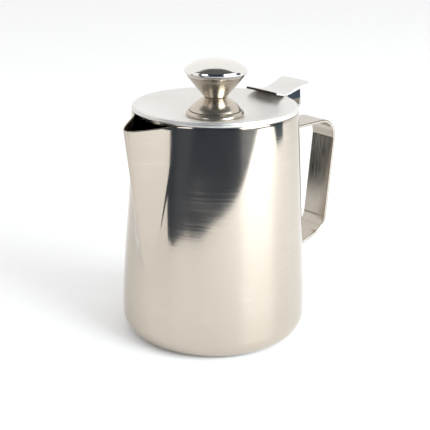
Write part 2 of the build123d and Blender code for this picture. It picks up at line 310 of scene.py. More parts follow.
# Name, darker and lighter colour, roughness and its spread, grain along X, Y and Z, and bump
BRUSHED = metal(
    "brushed_steel", (0.52, 0.46, 0.39), (0.64, 0.575, 0.50), 0.08, 0.02, (14, 14, 1500), 0.12
)
STRIP = metal(
    "strip_steel", (0.50, 0.45, 0.39), (0.64, 0.585, 0.52), 0.15, 0.04, (60, 2200, 60), 0.05
)
POLISHED = metal(
    "polished_steel", (0.80, 0.77, 0.73), (0.88, 0.86, 0.83), 0.12, 0.04, (300, 300, 300), 0.02
)
TURNED = metal(
    "turned_steel", (0.56, 0.50, 0.42), (0.76, 0.70, 0.61), 0.24, 0.06, (15, 15, 4000), 0.12
)
WIRE = metal("mesh_steel", (0.55, 0.53, 0.50), (0.72, 0.70, 0.66), 0.3, 0.06, (500, 500, 500), 0.05)
SPRING = metal(
    "spring_steel", (0.60, 0.58, 0.54), (0.78, 0.75, 0.71), 0.22, 0.05, (400, 400, 400), 0.05
)
BRASS = metal("brass", (0.62, 0.42, 0.15), (0.78, 0.57, 0.24), 0.25, 0.06, (30, 30, 3000), 0.1)
SATIN = metal(
    "satin_steel", (0.80, 0.78, 0.75), (0.90, 0.88, 0.86), 0.42, 0.05, (300, 300, 300), 0.02
)
# Painted reflection: near-black steel for the tab's inner end face, standing in for the dark room that
# it reflects
PAINTED_DARK_END = metal(
    "painted_dark_end", (0.05, 0.04, 0.03), (0.12, 0.10, 0.08), 0.45, 0.1, (900, 900, 900), 0.2
)
# Painted shade: dark blue-grey steel for the clip's cheek sides, standing in for the shade and dark
# reflections that they show
PAINTED_SHADE_CHEEK = metal(
    "painted_shade_steel", (0.035, 0.042, 0.052), (0.12, 0.135, 0.16), 0.4, 0.1, (900, 900, 900), 0.2
)
cross_glow(BRUSHED, 0.09, 0.32)


def nylon():
    """Off-white nylon with a faint mottle."""
    material, tree, shader = new_material("nylon", (0.75, 0.73, 0.68), 0, 0.45)
    mottle = noise(tree, (700, 700, 700), 2)
    colour = mix_colours(tree, mottle, (0.70, 0.68, 0.62), (0.80, 0.78, 0.73))
    tree.links.new(colour, shader.inputs["Base Color"])
    tree.links.new(remap(tree, mottle, 0.38, 0.52), shader.inputs["Roughness"])
    add_bump(tree, shader, mottle, 0.1, GRAIN_DEPTH)
    return material


NYLON = nylon()


# ---------------------------------------------------------------- jug
def wall_radius(height):
    """Outer radius of the tapered wall above its shoulder, away from the spout."""
    taper = (BASE_RADIUS - RIM_RADIUS) / (JUG_HEIGHT - TAPER_START)
    return RIM_RADIUS + taper * (JUG_HEIGHT - height)


def ridge_shape(u):
    """Cross-section of the spout ridge: 1 at its crest, 0 at its feet."""
    if abs(u) >= 1:
        return 0.0
    full = math.hypot(1, CREST_SOFTNESS)
    return ((full - math.hypot(u, CREST_SOFTNESS)) / (full - CREST_SOFTNESS)) ** 1.5


def formed_radius(angle, height):
    """Outer radius with the spout ridge and the hollows that its pressing leaves beside it."""
    rise = max(0.0, (height - SPOUT_FOOT) / (JUG_HEIGHT - SPOUT_FOOT))
    from_spout = abs(angle - 180)
    half_angle = SPOUT_FOOT_HALF_ANGLE + rise * (SPOUT_RIM_HALF_ANGLE - SPOUT_FOOT_HALF_ANGLE)
    reach = rise * (SPOUT_REACH - RIM_RADIUS)
    ridge = reach * ridge_shape(from_spout / half_angle)
    bell = math.exp(-(((from_spout - FLANK_ANGLE) / FLANK_SPREAD) ** 2))
    hollow = FLANK_HOLLOW * bell * math.sin(math.pi * min(rise, 1.0)) ** 2
    return wall_radius(height) + ridge - hollow


def rim_height(angle):
    """Height of the rim, which dips towards the tip of the lip."""
    out = -formed_radius(angle, JUG_HEIGHT) * math.cos(math.radians(angle))
    slope = LIP_DIP / (SPOUT_REACH - LIP_DIP_START)
    return JUG_HEIGHT - slope * max(0.0, out - LIP_DIP_START)


def jug_angles():
    """Angles round the jug, close together at the spout."""
    start = 180 - SPOUT_SPAN / 2
    fine = [start + i * SPOUT_SPAN / SPOUT_COLUMNS for i in range(SPOUT_COLUMNS)]
    other_span = 360 - SPOUT_SPAN
    coarse = [start + SPOUT_SPAN + i * other_span / OTHER_COLUMNS for i in range(OTHER_COLUMNS)]
    return [a % 360 for a in fine + coarse]


def jug_lower_path(inset):
    """Base, corner and shoulder of the wall up to the foot of the spout."""
    base = BASE_RADIUS - inset
    foot = wall_radius(SPOUT_FOOT) - inset
    points = [(0, inset), (base, inset), (base, TAPER_START), (foot, SPOUT_FOOT)]
    path = rounded_path(points, [CORNER_RADIUS - inset, SHOULDER_RADIUS], steps=16)
    if inset:
        return path
    bead = [
        (BEAD_RADIUS - BEAD_WIDTH / 2, 0),
        (BEAD_RADIUS - BEAD_WIDTH / 4, BEAD_HEIGHT),
        (BEAD_RADIUS + BEAD_WIDTH / 4, BEAD_HEIGHT),
        (BEAD_RADIUS + BEAD_WIDTH / 2, 0),
    ]
    ends = [(0, 0), *bead, (base - CORNER_RADIUS, 0)]
    return rounded_path(ends, [0.8 * MM] * 4, steps=4) + path[1:]


def jug_column(angle):
    """Points of the jug's section at one angle, from under the base to the inside floor."""
    top = rim_height(angle)
    cos, sin = math.cos(math.radians(angle)), math.sin(math.radians(angle))
    column = [(r, z) for r, z in jug_lower_path(0)]
    for row in range(1, WALL_ROWS + 1):
        height = SPOUT_FOOT + (top - WALL / 2 - SPOUT_FOOT) * row / WALL_ROWS
        column.append((formed_radius(angle, height), height))
    middle = formed_radius(angle, top) - WALL / 2
    for step in range(1, RIM_STEPS):
        turn = math.pi * step / RIM_STEPS
        column.append((middle + WALL / 2 * math.cos(turn), top - WALL / 2 + WALL / 2 * math.sin(turn)))
    for row in range(WALL_ROWS, 0, -2):
        height = SPOUT_FOOT + (top - WALL / 2 - SPOUT_FOOT) * row / WALL_ROWS
        column.append((formed_radius(angle, height) - WALL, height))
    column.extend(reversed([(r, z) for r, z in jug_lower_path(WALL)]))
    return [(r * cos, r * sin, z) for r, z in column]


def build_jug():
    """The jug as one skin, from under its base over the rim to its inside floor."""
    columns = [jug_column(angle) for angle in jug_angles()]
    rings = [list(ring) for ring in zip(*columns)]
    rings[0] = [(0, 0, 0)]
    rings[-1] = [(0, 0, WALL)]
    vertices, faces = skin(rings)
    make_piece("jug_shell", "jug", BRUSHED, vertices, faces, ["jug_body"])


build_jug()

# ---------------------------------------------------------------- strips
STRIP_EDGE = 0.5 * MM


def strip_section(half_width, half_thickness, edge, steps=4, spans=1):
    """Rounded rectangle of (across, out) points, its long sides divided into spans."""
    corners = [
        (-half_width, -half_thickness),
        (half_width, -half_thickness),
        (half_width, half_thickness),
        (-half_width, half_thickness),
    ]
    outline = rounded_path(corners, [edge] * 4, steps=steps, closed=True)
    if spans == 1:
        return outline
    return spaced(outline + outline[:1], 2 * half_width / spans)[:-1]


def path_frames(path):
    """Each point of a path in the XZ plane with the direction square to it there."""
    frames = []
    for index, point in enumerate(path):
        ahead = (path[min(index + 1, len(path) - 1)] - path[max(index - 1, 0)]).normalized()
        frames.append((point, Vector((-ahead.y, ahead.x))))
    return frames


def strip_rings(path, width_at, half_thickness, edge):
    """Rings of a bent strip; width_at gives its half width along the path."""
    rings = []
    travelled = 0
    last = path[0]
    for point, out in path_frames(path):
        travelled += (point - last).length
        last = point
        half_width = width_at(travelled)
        ring = []
        for across, rise in strip_section(half_width, half_thickness, edge):
            ring.append(Vector((point.x + out.x * rise, across, point.y + out.y * rise)))
        rings.append(ring)
    return rings


def capped(rings):
    """Skin over rings with a face closing each end."""
    vertices, faces = skin(rings)
    size = len(rings[0])
    faces.append(list(reversed(range(size))))
    faces.append([len(vertices) - size + i for i in range(size)])
    return vertices, faces


def path_length(path):
    """Length of a path of straight runs."""
    return sum((b - a).length for a, b in zip(path, path[1:]))


# ---------------------------------------------------------------- handle
HANDLE_WIDTH = 17 * MM
HANDLE_THICKNESS = 1.8 * MM
HANDLE_PATH = [(43.0, 107.0), (88.4, 107.4), (82.1, 41.2), (46.0, 29.3)]
HANDLE_BENDS = [11.1, 10.5]
WELD_RADIUS = 0.7 * MM
WELD_DEPTH = 0.45 * MM
WELD_SIDES = 10
HANDLE_GAP = 2.5 * MM
CLEAR_OF_WALL = 0.2 * MM


def in_metres(points):
    """Points of a millimetre profile in metres."""
    return [(x * MM, z * MM) for x, z in points]


def onto_wall(point, inset):
    """The point moved along X to the jug's wall."""
    radius = wall_radius(point.z) - inset
    return Vector((math.sqrt(radius**2 - point.y**2), point.y, point.z))


def weld_bead(ring, name):
    """A thin fillet of weld round one end of the handle, where it meets the wall."""
    centre = sum(ring, Vector()) / len(ring)
    loop = [onto_wall(point, 0) for point in ring]
    rings = []
    for index, point in enumerate(loop):
        direction = (loop[(index + 1) % len(loop)] - loop[index - 1]).normalized()
        outward = (point - centre).normalized()
        outward = (outward - direction * outward.dot(direction)).normalized()
        normal = direction.cross(outward)
        turn = [2 * math.pi * side / WELD_SIDES for side in range(WELD_SIDES)]
        round_weld = [outward * math.cos(a) + normal * math.sin(a) for a in turn]
        rings.append([point + way * WELD_RADIUS for way in round_weld])
    vertices, faces = skin(rings, along=True)
    make_piece(name, "jug", STRIP, vertices, faces)


def build_handle():
    """The bent handle strip, with its ends run into the wall and a weld round each."""
    bends = [r * MM for r in HANDLE_BENDS]
    path = spaced(rounded_path(in_metres(HANDLE_PATH), bends, steps=14), HANDLE_GAP)
    rings = strip_rings(path, lambda travelled: HANDLE_WIDTH / 2, HANDLE_THICKNESS / 2, STRIP_EDGE)
    outside = []
    for ring in rings:
        if min(p.x for p in ring) > wall_radius(ring[0].z) + CLEAR_OF_WALL:
            outside.append(ring)
    top = [onto_wall(p, WELD_DEPTH) for p in outside[0]]
    bottom = [onto_wall(p, WELD_DEPTH) for p in outside[-1]]
    vertices, faces = capped([top] + outside + [bottom])
    make_piece("handle_strip", "jug", STRIP, vertices, faces, ["handle"])
    weld_bead(outside[0], "handle_weld_top")
    weld_bead(outside[-1], "handle_weld_bottom")


build_handle()

# ---------------------------------------------------------------- lid
LID_SEAT = 121.3
LID_CREST = 127.2
SHEET = 0.8
LID_BORE = 5.1
LID_WELL_RADIUS = 16.0
LID_WELL_UNDER_RADIUS = 16.6
LID_CREST_RADIUS = 41.4
LID_CREST_UNDER_RADIUS = 41.6
LID_STEP_RADIUS = 43.6
LID_RADIUS = 44.2
LIP_INNER_RADIUS = 42.8
LIP_TOP = 126.2
LIP_BOTTOM = 125.1


def turned_mm(name, body, slot, material, points, radii, replaces=(), closed=True, steps=5):
    """A turned piece from millimetre points, each corner with its own rounding."""
    path = rounded_path(in_metres(points), [r * MM for r in radii], steps=steps, closed=closed)
    turned(name, body, material, path, closed, replaces)


def build_lid_plate():
    """The dished lid plate with its rolled lip, turned from one profile."""
    points = [
        (LID_BORE, LID_SEAT),
        (LID_WELL_RADIUS, LID_SEAT),
        (LID_CREST_RADIUS, LID_CREST),
        (LID_STEP_RADIUS, LID_CREST),
        (LID_STEP_RADIUS, LIP_TOP),
        (LID_RADIUS, LIP_TOP),
        (LID_RADIUS, LIP_BOTTOM),
        (LIP_INNER_RADIUS, LIP_BOTTOM),
        (LIP_INNER_RADIUS, LID_CREST - SHEET),
        (LID_CREST_UNDER_RADIUS, LID_CREST - SHEET),
        (LID_WELL_UNDER_RADIUS, LID_SEAT - SHEET),
        (LID_BORE, LID_SEAT - SHEET),
    ]
    radii = [0.05, 6.0, 1.2, 0.5, 0.2, 0.3, 0.3, 0.05, 0.05, 0.5, 4.0, 0.05]
    turned_mm("lid", "lid", "polished_steel", SATIN, points, radii, ["lid_plate"], steps=8)


SKIRT_RADIUS = 42.7
SKIRT_TOP = LID_CREST - SHEET
SKIRT_BOTTOM = 116.0
NOTCH_TOP = 123.0
NOTCH_HALF_WIDTH = 11.0
NOTCH_CORNER = 2.0
NOTCH_STEPS = 8
NOTCH_SIDE_ANGLE = 0.01
SKIRT_COLUMNS = 160


def skirt_bottom(across):
    """Height of the skirt's lower edge, which lifts over the pouring notch."""
    inside = NOTCH_HALF_WIDTH - abs(across)
    if inside <= 0:
        return SKIRT_BOTTOM
    if inside < NOTCH_CORNER:
        drop = NOTCH_CORNER - math.sqrt(NOTCH_CORNER**2 - (NOTCH_CORNER - inside) ** 2)
        return NOTCH_TOP - drop
    return NOTCH_TOP


def skirt_angles():
    """Angles round the skirt, close together at the corners and sides of the notch."""
    edge = math.degrees(math.asin(NOTCH_HALF_WIDTH / SKIRT_RADIUS))
    corner = math.degrees(math.asin((NOTCH_HALF_WIDTH - NOTCH_CORNER) / SKIRT_RADIUS))
    outside, inside = edge + NOTCH_SIDE_ANGLE, edge - NOTCH_SIDE_ANGLE
    half = [outside, inside]
    half += [inside - (edge - corner) * i / NOTCH_STEPS for i in range(1, NOTCH_STEPS + 1)]
    half += [corner * (NOTCH_STEPS - i) / NOTCH_STEPS for i in range(1, NOTCH_STEPS + 1)]
    notch = [180 - a for a in half] + [180 + a for a in reversed(half[:-1])]
    span = 360 - 2 * outside
    return notch + [180 + outside + span * i / SKIRT_COLUMNS for i in range(1, SKIRT_COLUMNS)]


def build_skirt():
    """The band under the lid, with its notch at the spout."""
    inner = SKIRT_RADIUS - SHEET
    radii = [0.3 * MM, 0.3 * MM, 0.05 * MM, 0.05 * MM]
    rings = []
    for angle in skirt_angles():
        cos, sin = math.cos(math.radians(angle)), math.sin(math.radians(angle))
        facing_spout = cos < 0
        low = skirt_bottom(SKIRT_RADIUS * sin) if facing_spout else SKIRT_BOTTOM
        corners = [(inner, low), (SKIRT_RADIUS, low), (SKIRT_RADIUS, SKIRT_TOP), (inner, SKIRT_TOP)]
        section = rounded_path(in_metres(corners), radii, steps=3, closed=True)
        rings.append([(r * cos, r * sin, z) for r, z in section])
    vertices, faces = skin(rings, along=True)
    make_piece("lid_band", "lid", POLISHED, vertices, faces, ["lid_skirt"])


TAB_PATH = [(33.6, 129.6), (41.5, 127.8), (46.5, 127.8), (61.8, 132.2)]
TAB_INNER_RADIUS = 35.7 * MM
TAB_HOLLOW_REACH = 8 * MM
TAB_BENDS = [8.0, 14.0]
TAB_THICKNESS = 1.2 * MM
TAB_INNER_HALF_WIDTH = 12.2 * MM
TAB_OUTER_HALF_WIDTH = 11.0 * MM
TAB_CORNER = 2.5 * MM
TAB_WAIST_PLACE = 49.5 * MM
TAB_WAIST_HALF_WIDTH = 9.4 * MM
TAB_WAIST_RADIUS = 24 * MM
TAB_INNER_CORNER = 1 * MM
TAB_EDGE = 0.35 * MM
TAB_SPANS = 12
CLIP_PATH = [(54.6, 129.9), (55.4, 120.6), (52.0, 117.2), (45.9, 116.4)]
CLIP_BENDS = [2.6, 3.5]
CLIP_THICKNESS = 1.0 * MM
CLIP_HALF_WIDTH = 9.4 * MM
CLIP_CORNER = 1 * MM
CLIP_EDGE = 0.3 * MM
STRIP_GAP = 1.2 * MM
END_STEPS = 8


def corner_loss(distance, radius):
    """How much narrower a strip is, this far from a rounded end."""
    if distance >= radius:
        return 0
    return radius - math.sqrt(radius**2 - (radius - max(distance, 0)) ** 2)


def with_close_ends(path, radius):
    """The path with extra points near its ends, where the corners are rounded."""
    steps = [radius * (1 - math.cos(math.pi / 2 * i / END_STEPS)) for i in range(1, END_STEPS)]
    start = (path[1] - path[0]).normalized()
    end = (path[-2] - path[-1]).normalized()
    inner = [p for p in path if min((p - path[0]).length, (p - path[-1]).length) > radius]
    opening = [path[0]] + [path[0] + start * s for s in steps]
    closing = [path[-1] + end * s for s in reversed(steps)] + [path[-1]]
    return opening + inner + closing


def along_path(frames, distance):
    """The point and outward direction this far along a path."""
    for (a, out_a), (b, out_b) in zip(frames, frames[1:]):
        step = (b - a).length
        if distance <= step:
            share = distance / step if step else 0
            return a.lerp(b, share), out_a.lerp(out_b, share).normalized()
        distance -= step
    return frames[-1]


def hollow(across):
    """How far the tab's inner end is cut back, so that it runs round the lid's axis."""
    tip = math.sqrt(TAB_INNER_RADIUS**2 - TAB_INNER_HALF_WIDTH**2)
    return math.sqrt(TAB_INNER_RADIUS**2 - across**2) - tip


def waist_half_width(along):
    """Half the tab's width where its sides are hollowed, at this distance from the lid's axis."""
    across = TAB_WAIST_RADIUS**2 - (along - TAB_WAIST_PLACE) ** 2
    return TAB_WAIST_HALF_WIDTH + TAB_WAIST_RADIUS - math.sqrt(max(across, 0))


def second_material(piece, material, chosen):
    """Gives the faces that a test picks out their own material."""
    piece.data.materials.append(material)
    for polygon in piece.data.polygons:
        if chosen(polygon):
            polygon.material_index = 1


FACING = 0.9
SHEARED_END_REACH = 40 * MM


def sheared_end(polygon):
    """True for the tab's inner end face, whose near-black colour is a painted reflection of the dark
    room.
    """
    return abs(polygon.normal.x) > FACING and polygon.center.x < SHEARED_END_REACH


def cheek_side(polygon):
    """True for the flat sides of the clip's cheeks, whose dark blue-grey colour is painted shade and
    dark reflection.
    """
    return abs(polygon.normal.y) > FACING


def build_thumb_tab():
    """The thumb tab, waisted and cut back at its inner end."""
    bends = [b * MM for b in TAB_BENDS]
    path = spaced(rounded_path(in_metres(TAB_PATH), bends, steps=12), STRIP_GAP)
    frames = path_frames(with_close_ends(path, TAB_CORNER))
    length = path_length([point for point, _ in frames])
    rings = []
    travelled = 0
    last = frames[0][0]
    for point, _ in frames:
        travelled += (point - last).length
        last = point
        share = travelled / length
        plain = TAB_INNER_HALF_WIDTH + (TAB_OUTER_HALF_WIDTH - TAB_INNER_HALF_WIDTH) * share
        plain = min(plain, waist_half_width(point.x))
        inner_loss = corner_loss(travelled, TAB_INNER_CORNER)
        half_width = plain - inner_loss - corner_loss(length - travelled, TAB_CORNER)
        ring = []
        for across, rise in strip_section(half_width, TAB_THICKNESS / 2, TAB_EDGE, spans=TAB_SPANS):
            shift = hollow(across) * max(0, 1 - travelled / TAB_HOLLOW_REACH)
            place, out = along_path(frames, travelled + shift)
            ring.append(Vector((place.x + out.x * rise, across, place.y + out.y * rise)))
        rings.append(ring)
    vertices, faces = capped(rings)
    piece = make_piece("thumb_rest", "lid", SATIN, vertices, faces, ["thumb_tab"])
    # The tab's inner end face gets the painted dark reflection
    second_material(piece, PAINTED_DARK_END, sheared_end)


CHEEK_OUTLINE = [(45.0, 124.2), (54.9, 124.2), (54.6, 129.6), (46.5, 127.3), (45.0, 127.3)]
CHEEK_CORNERS = [0.8, 0.2, 0.2, 0.2, 0.2]
CHEEK_EDGE = 0.15


def cheek_skin(outer_side):
    """One folded side of the clip, a flat plate with softened edges."""
    corners = [r * MM for r in CHEEK_CORNERS]
    outline = rounded_path(in_metres(CHEEK_OUTLINE), corners, closed=True)
    middle = sum((Vector(p) for p in outline), Vector((0, 0))) / len(outline)
    rings = []
    for across, shrink in ((0, CHEEK_EDGE), (CHEEK_EDGE, 0), (1 - CHEEK_EDGE, 0), (1, CHEEK_EDGE)):
        y = outer_side - CLIP_THICKNESS * across
        ring = []
        for point in outline:
            inward = (middle - point).normalized() * shrink * MM
            ring.append(Vector((point.x + inward.x, y, point.y + inward.y)))
        rings.append(ring)
    return capped(rings)


def build_clip():
    """The clip under the tab, a bent strip with two folded sides."""
    bends = [b * MM for b in CLIP_BENDS]
    path = spaced(rounded_path(in_metres(CLIP_PATH), bends, steps=12), STRIP_GAP)
    path = with_close_ends(path, CLIP_CORNER)
    length = path_length(path)

    def width_at(travelled):
        return CLIP_HALF_WIDTH - corner_loss(length - travelled, CLIP_CORNER)

    strip = capped(strip_rings(path, width_at, CLIP_THICKNESS / 2, CLIP_EDGE))
    cheeks = [cheek_skin(CLIP_HALF_WIDTH), cheek_skin(-CLIP_HALF_WIDTH + CLIP_THICKNESS)]
    vertices, faces = join_skins([strip] + cheeks)
    piece = make_piece("rim_clip", "lid", SATIN, vertices, faces, ["retaining_clip"])
    # The cheeks' flat sides get the painted shade
    second_material(piece, PAINTED_SHADE_CHEEK, cheek_side)


build_lid_plate()
build_skirt()
build_thumb_tab()
build_clip()

# ---------------------------------------------------------------- guide and knob
GUIDE_SEAT = 122.6
FLANGE_RADIUS = 15.4
FLANGE_TOP = 123.9
FLANGE_INNER_RADIUS = 13.95
FLANGE_PROFILE = [
    (LID_BORE, LID_SEAT),
    (FLANGE_RADIUS, LID_SEAT),
    (FLANGE_RADIUS, GUIDE_SEAT),
    (14.4, FLANGE_TOP),
    (FLANGE_INNER_RADIUS, FLANGE_TOP),
    (FLANGE_INNER_RADIUS, GUIDE_SEAT),
    (LID_BORE, GUIDE_SEAT),
]
FLANGE_ROUNDING = [0.05, 0.5, 0.8, 0.4, 0.1, 0.05, 0.05]
BUSH_RADIUS = 3.2
STEM_RADIUS = 5
STEM_BOTTOM = 114.5
GUIDE_TOP = 131.1
GUIDE_FOOT = [(13.4, GUIDE_SEAT), (13.55, 123.8)]
GUIDE_SIDE = [(13.65, 124.2), (12.5, 125.9), (10.0, 128.4), (6.1, 131.0)]
KNOB_BOTTOM = 131.2
KNOB_SHOULDER = 142.2
INSERT_RADIUS = 4.5
INSERT_BOTTOM = 133.6
ROD_HOLE_RADIUS = 2.06
KNOB_SIDE = [(6.1, 131.35), (7.7, 133.2), (10.4, 136.4), (13.6, 140.3)]
CAP_EDGE = [(15.1, 142.3), (15.7, 142.9), (16.4, 143.9), (16.6, 144.5)]
CAP_DOME = [(16.55, 145.1), (15.9, 146.3), (12.6, 148.6), (8.2, 150.3), (0, 151.2)]
CURVE_STEPS = 8
DOME_STEPS = 10


def smooth_curve(points, steps):
    """Points on a smooth curve through the ones given."""
    result = []
    ends = [2 * Vector(points[0]) - Vector(points[1])] + [Vector(p) for p in points]
    ends.append(2 * Vector(points[-1]) - Vector(points[-2]))
    for before, a, b, after in zip(ends, ends[1:], ends[2:], ends[3:]):
        for step in range(steps):
            t = step / steps
            slope_a = (b - before) / 2
            slope_b = (after - a) / 2
            point = a * (2 * t**3 - 3 * t**2 + 1) + slope_a * (t**3 - 2 * t**2 + t)
            point += b * (3 * t**2 - 2 * t**3) + slope_b * (t**3 - t**2)
            result.append((point.x, point.y))
    result.append(tuple(points[-1]))
    return result


def build_guide():
    """The guide on the lid, a flange ring round a waisted cone."""
    parts = (FLANGE_PROFILE, FLANGE_ROUNDING, ["guide_flange"])
    turned_mm("guide_ring", "lid", "turned_steel", TURNED, *parts)
    stem = [(BUSH_RADIUS, STEM_BOTTOM), (STEM_RADIUS, STEM_BOTTOM), (STEM_RADIUS, GUIDE_SEAT)]
    top = [(5.85, GUIDE_TOP), (BUSH_RADIUS, GUIDE_TOP)]
    points = stem + GUIDE_FOOT + smooth_curve(GUIDE_SIDE, CURVE_STEPS) + top
    turned("guide_waist", "lid", TURNED, in_metres(points), True, ["guide_cone"])


def build_knob():
    """The knob, a hollow cone under a domed cap."""
    bore = [
        (INSERT_RADIUS, KNOB_SHOULDER),
        (INSERT_RADIUS, INSERT_BOTTOM),
        (ROD_HOLE_RADIUS, INSERT_BOTTOM),
        (ROD_HOLE_RADIUS, KNOB_BOTTOM),
        (5.8, KNOB_BOTTOM),
    ]
    top = [(13.8, 140.7), (15.1, KNOB_SHOULDER)]
    points = bore + smooth_curve(KNOB_SIDE, CURVE_STEPS) + top
    turned("knob_body", "plunger", TURNED, in_metres(points), True, ["knob_cone"])
    points = [(0, CAP_EDGE[0][1])] + CAP_EDGE + smooth_curve(CAP_DOME, DOME_STEPS)
    turned("knob_dome", "plunger", POLISHED, in_metres(points), False, ["knob_cap"])


build_guide()
build_knob()

# ---------------------------------------------------------------- plunger
PLATE = 0.8
MESH = 0.4
ROD_RADIUS = 2.0
ROD_BOTTOM = 8.0
ROD_TOP = 141.0
ROD_ROUNDING = 0.4
CLAMP_RADIUS = 9.0
SPACER_RADIUS = 4.0
SPACER_LENGTH = 11.0
HOOP_INNER_RADIUS = 39.4
HOOP_OUTER_RADIUS = 41.2
HOOP_HEIGHT = 1.6
WASHER_TOP = LID_SEAT - SHEET
# The stack on the rod, from the lower screen up
LOWER_SCREEN = 12.0
LOWER_CLAMP_BOTTOM = LOWER_SCREEN + MESH / 2
SPACER_BOTTOM = LOWER_CLAMP_BOTTOM + PLATE
SUPPORT_BOTTOM = SPACER_BOTTOM + SPACER_LENGTH
UPPER_SCREEN = SUPPORT_BOTTOM + PLATE + MESH / 2
UPPER_CLAMP_BOTTOM = UPPER_SCREEN + MESH / 2
LOCK_NUT_BOTTOM = UPPER_CLAMP_BOTTOM + PLATE
HOOP_BOTTOM = UPPER_SCREEN - HOOP_HEIGHT / 2


def plain_ring(name, body, slot, material, radii, bottom, height, node):
    """A turned ring or disc with softened edges, from its inner and outer radius."""
    inner, outer = radii
    corners = [(inner, bottom), (outer, bottom), (outer, bottom + height), (inner, bottom + height)]
    edge = min(0.25, 0.4 * height, 0.4 * (outer - inner))
    turned_mm(name, body, slot, material, corners, [edge] * 4, [node], steps=3)


def build_stack():
    """The washer under the lid, and the discs, spacer and hoop on the rod."""
    washer = ((LID_BORE, CLAMP_RADIUS), WASHER_TOP - PLATE, PLATE)
    plain_ring("washer", "lid", "turned_steel", TURNED, *washer, "guide_washer")
    clamp = (ROD_RADIUS, CLAMP_RADIUS)
    spacer = (ROD_RADIUS, SPACER_RADIUS)
    hoop = (HOOP_INNER_RADIUS, HOOP_OUTER_RADIUS)
    for name, radii, bottom, height, node in (
        ("lower_disc", clamp, LOWER_CLAMP_BOTTOM, PLATE, "lower_clamp_disc"),
        ("spacer", spacer, SPACER_BOTTOM, SPACER_LENGTH, "spacer_tube"),
        ("support_disc", clamp, SUPPORT_BOTTOM, PLATE, "upper_support_disc"),
        ("upper_disc", clamp, UPPER_CLAMP_BOTTOM, PLATE, "upper_clamp_disc"),
        ("hoop", hoop, HOOP_BOTTOM, HOOP_HEIGHT, "upper_hoop"),
    ):
        plain_ring(name, "plunger", "polished_steel", POLISHED, radii, bottom, height, node)


def build_rod():
    """The rod, from under the screens up into the knob."""
    points = [(0, ROD_BOTTOM), (ROD_RADIUS, ROD_BOTTOM), (ROD_RADIUS, ROD_TOP), (0, ROD_TOP)]
    rod = (points, [ROD_ROUNDING] * 2, ["plunger_rod"])
    turned_mm("rod", "plunger", "polished_steel", POLISHED, *rod, closed=False)


build_stack()
build_rod()

NUT_POINTS = 120
NUT_FACE = 0.98
NUT_DOME = 0.93
NUT_DOME_STEPS = 8
CHAMFER_SLOPE = 0.6
CHAMFER_EDGE = 0.08


def circle(radius, height):
    """A ring of points for a nut, from a radius and height in millimetres."""
    angles = [2 * math.pi * i / NUT_POINTS for i in range(NUT_POINTS)]
    return [(radius * math.cos(a) * MM, radius * math.sin(a) * MM, height * MM) for a in angles]


def hex_ring(half_flats, height, inward):
    """A ring at a nut's end face, or chamfered inward from it by the depth that its corners need."""
    ring = []
    for i in range(NUT_POINTS):
        angle = 2 * math.pi * i / NUT_POINTS
        from_flat = (angle + math.pi / 6) % (math.pi / 3) - math.pi / 6
        corner = half_flats / math.cos(from_flat)
        radius = corner if inward else half_flats * NUT_FACE
        chamfer = max(corner - half_flats, 0) * CHAMFER_SLOPE + CHAMFER_EDGE
        level = height + inward * chamfer
        ring.append((radius * math.cos(angle) * MM, radius * math.sin(angle) * MM, level * MM))
    return ring


def hex_nut(name, body, flats, bore, bottom, height, replaces, dome=0):
    """A hexagon nut with chamfered corners, and a domed end under it if asked."""
    half = flats / 2
    top = bottom + height
    ends = ((bottom, 0), (bottom, 1), (top, -1), (top, 0))
    rings = [hex_ring(half, level, inward) for level, inward in ends]
    if dome:
        turns = [math.pi / 2 * i / NUT_DOME_STEPS for i in range(1, NUT_DOME_STEPS)]
        cap = [circle(half * NUT_DOME * math.sin(a), bottom - dome * math.cos(a)) for a in turns]
        rings = [[(0, 0, (bottom - dome) * MM)]] + cap + [circle(half * NUT_DOME, bottom)] + rings
    else:
        rings = [circle(bore, bottom)] + rings
    vertices, faces = skin(rings + [circle(bore, top)], along=not dome)
    make_piece(name, body, TURNED, vertices, faces, replaces)


GUIDE_NUT_FLATS = 15
GUIDE_NUT_HEIGHT = 4
GUIDE_NUT_BOTTOM = WASHER_TOP - PLATE - GUIDE_NUT_HEIGHT
ROD_NUT_FLATS = 7
LOCK_NUT_HEIGHT = 3.2
END_NUT_HEIGHT = 3
END_NUT_DOME = 2
guide_nut = (GUIDE_NUT_FLATS, STEM_RADIUS, GUIDE_NUT_BOTTOM, GUIDE_NUT_HEIGHT)
lock_nut = (ROD_NUT_FLATS, ROD_RADIUS, LOCK_NUT_BOTTOM, LOCK_NUT_HEIGHT)
end_nut = (ROD_NUT_FLATS, ROD_RADIUS, ROD_BOTTOM, END_NUT_HEIGHT)
hex_nut("lid_nut", "lid", *guide_nut, ["guide_nut"])
hex_nut("rod_nut", "plunger", *lock_nut, ["lock_nut"])
hex_nut("rod_end", "plunger", *end_nut, ["end_nut"], dome=END_NUT_DOME)

WIRE_PITCH = 1.2
WIRE_RADIUS = 0.11
WIRE_SIDES = 4
WEAVE = 0.09
ROD_HOLE = 2.6
SCREEN_MARGIN = 0.2
LOWER_SCREEN_RADIUS = 38.5
UPPER_SCREEN_RADIUS = 39.6


